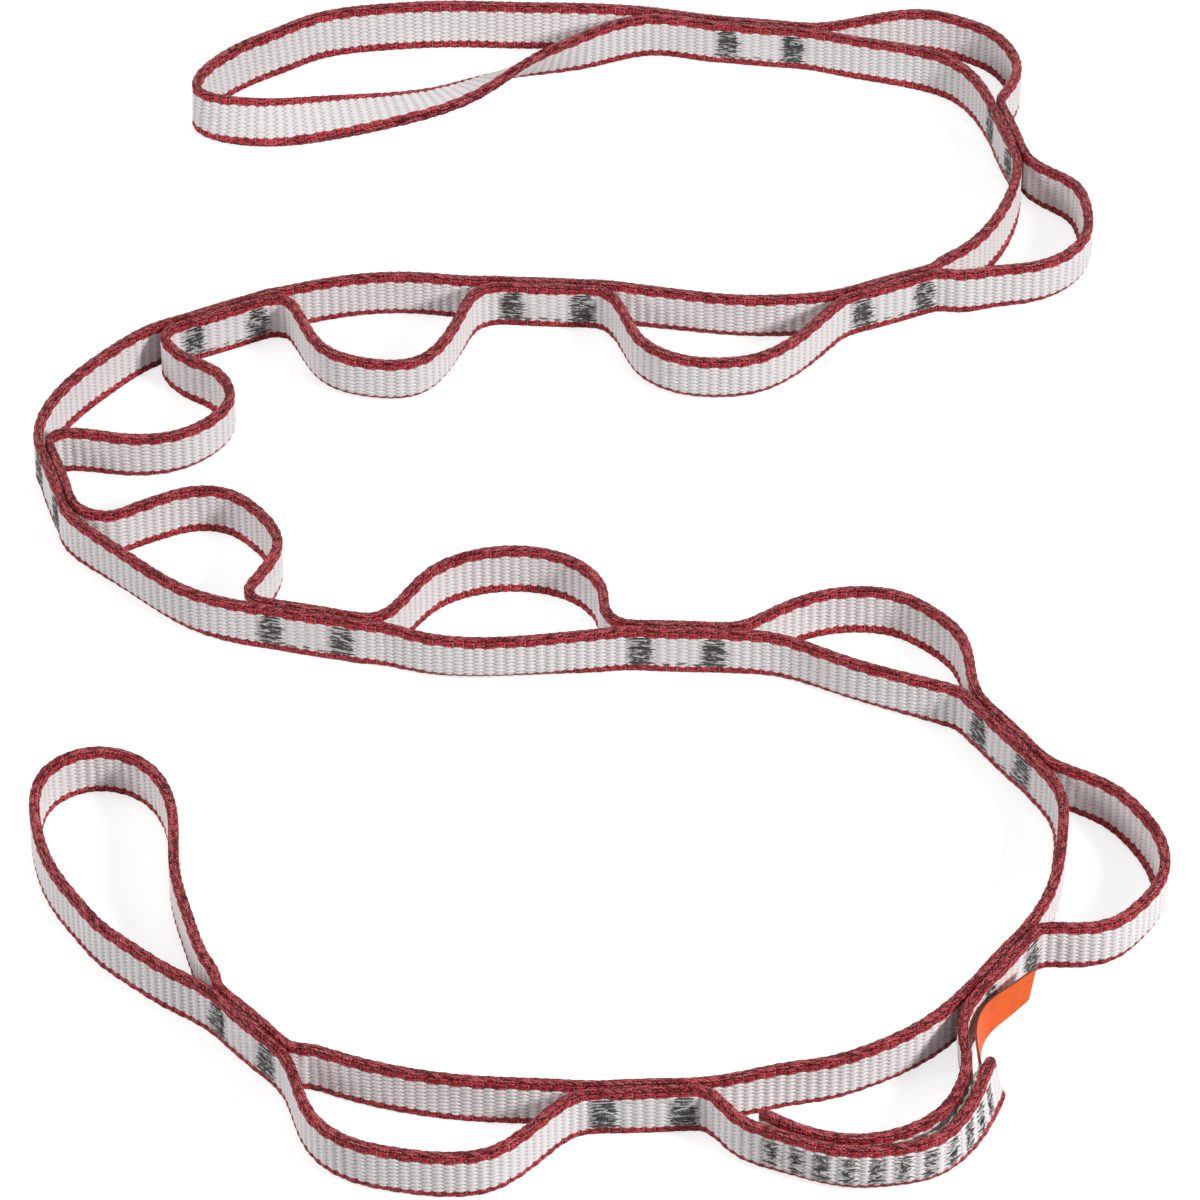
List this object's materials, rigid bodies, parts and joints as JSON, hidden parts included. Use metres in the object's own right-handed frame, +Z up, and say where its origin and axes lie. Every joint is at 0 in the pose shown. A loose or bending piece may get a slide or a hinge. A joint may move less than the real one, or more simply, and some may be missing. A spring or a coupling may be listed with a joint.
{
  "type": "daisy chain",
  "caption": "Sewn climbing daisy chain of white webbing with red edges, lying on its edge in an S, with clip-in pockets between bar tacks and a loop at each end.",
  "frame": {"origin": "centre of the laid-out chain in plan, on the surface that it stands on", "axes": "+Z up, across the webbing's width; +Y away from the camera, along the S; +X to the right in the picture"},
  "size_m": [0.2606, 0.4272, 0.012],
  "materials": {
    "webbing": "woven, white with red edges",
    "grey_thread": "dense zigzag stitching",
    "orange_tape": "smooth printed tape, left blank"
  },
  "bodies": {
    "link_06": {"back_ply_06": "webbing", "bar_06_out": "grey_thread", "bar_07_in": "grey_thread", "pocket_ply_06": "webbing"},
    "link_05": {"back_ply_05": "webbing", "bar_05_out": "grey_thread", "bar_06_in": "grey_thread", "pocket_ply_05": "webbing"},
    "link_04": {"back_ply_04": "webbing", "bar_04_out": "grey_thread", "bar_05_in": "grey_thread", "pocket_ply_04": "webbing"},
    "link_03": {"back_ply_03": "webbing", "bar_03_out": "grey_thread", "bar_04_in": "grey_thread", "pocket_ply_03": "webbing"},
    "link_02": {"back_ply_02": "webbing", "bar_02_out": "grey_thread", "bar_03_in": "grey_thread", "pocket_ply_02": "webbing"},
    "link_01": {"back_ply_01": "webbing", "bar_01_out": "grey_thread", "bar_02_in": "grey_thread", "pocket_ply_01": "webbing"},
    "end_long": {"bar_01_in": "grey_thread", "end_loop_long": "webbing"},
    "link_07": {"back_ply_07": "webbing", "bar_07_out": "grey_thread", "bar_08_in": "grey_thread", "pocket_ply_07": "webbing"},
    "link_08": {"back_ply_08": "webbing", "bar_08_out": "grey_thread", "bar_09_in": "grey_thread", "pocket_ply_08": "webbing"},
    "link_09": {"back_ply_09": "webbing", "bar_09_out": "grey_thread", "bar_10_in": "grey_thread", "pocket_ply_09": "webbing"},
    "link_10": {"back_ply_10": "webbing", "bar_10_out": "grey_thread", "bar_11_in": "grey_thread", "lap_ply_10": "webbing", "lap_stitching": "grey_thread", "pocket_ply_10": "webbing"},
    "link_11": {"back_ply_11": "webbing", "bar_11_out": "grey_thread", "bar_12_in": "grey_thread", "pocket_ply_11": "webbing"},
    "end_short": {"bar_12_out": "grey_thread", "end_loop_short": "webbing"},
    "label": {"label": "orange_tape"}
  },
  "joints": [
    {"name": "tack_06", "type": "hinge", "parent": "link_06", "child": "link_05", "pos_m": [-0.1238, 0.0183, 0.006], "axis": [0, 0, 1], "range_deg": [-26, 55]},
    {"name": "tack_05", "type": "hinge", "parent": "link_05", "child": "link_04", "pos_m": [-0.0875, 0.0823, 0.006], "axis": [0, 0, -1], "range_deg": [-55, 34]},
    {"name": "tack_04", "type": "hinge", "parent": "link_04", "child": "link_03", "pos_m": [-0.008, 0.0925, 0.006], "axis": [0, 0, 1], "range_deg": [-55, 50]},
    {"name": "tack_03", "type": "hinge", "parent": "link_03", "child": "link_02", "pos_m": [0.076, 0.0935, 0.006], "axis": [0, 0, 1], "range_deg": [-55, 22]},
    {"name": "tack_02", "type": "hinge", "parent": "link_02", "child": "link_01", "pos_m": [0.108, 0.1585, 0.006], "axis": [0, 0, 1], "range_deg": [-55, 16]},
    {"name": "tack_01", "type": "hinge", "parent": "link_01", "child": "end_long", "pos_m": [0.0465, 0.204, 0.006], "axis": [0, 0, -1], "range_deg": [-28, 55]},
    {"name": "tack_07", "type": "hinge", "parent": "link_06", "child": "link_07", "pos_m": [-0.0625, -0.0333, 0.006], "axis": [0, 0, 1], "range_deg": [-55, 34]},
    {"name": "tack_08", "type": "hinge", "parent": "link_07", "child": "link_08", "pos_m": [0.0227, -0.0392, 0.006], "axis": [0, 0, -1], "range_deg": [-55, 26]},
    {"name": "tack_09", "type": "hinge", "parent": "link_08", "child": "link_09", "pos_m": [0.097, -0.075, 0.006], "axis": [0, 0, -1], "range_deg": [-55, 12]},
    {"name": "tack_10", "type": "hinge", "parent": "link_09", "child": "link_10", "pos_m": [0.0922, -0.151, 0.006], "axis": [0, 0, 1], "range_deg": [-10, 30]},
    {"name": "tack_11", "type": "hinge", "parent": "link_10", "child": "link_11", "pos_m": [0.014, -0.1915, 0.006], "axis": [0, 0, 1], "range_deg": [-20, 55]},
    {"name": "tack_12", "type": "hinge", "parent": "link_11", "child": "end_short", "pos_m": [-0.0706, -0.17, 0.006], "axis": [0, 0, -1], "range_deg": [-55, 55]},
    {"name": "label_root", "type": "hinge", "parent": "link_10", "child": "label", "pos_m": [0.0865, -0.182, 0.006], "axis": [0, 0, -1], "range_deg": [-2, 50]}
  ]
}
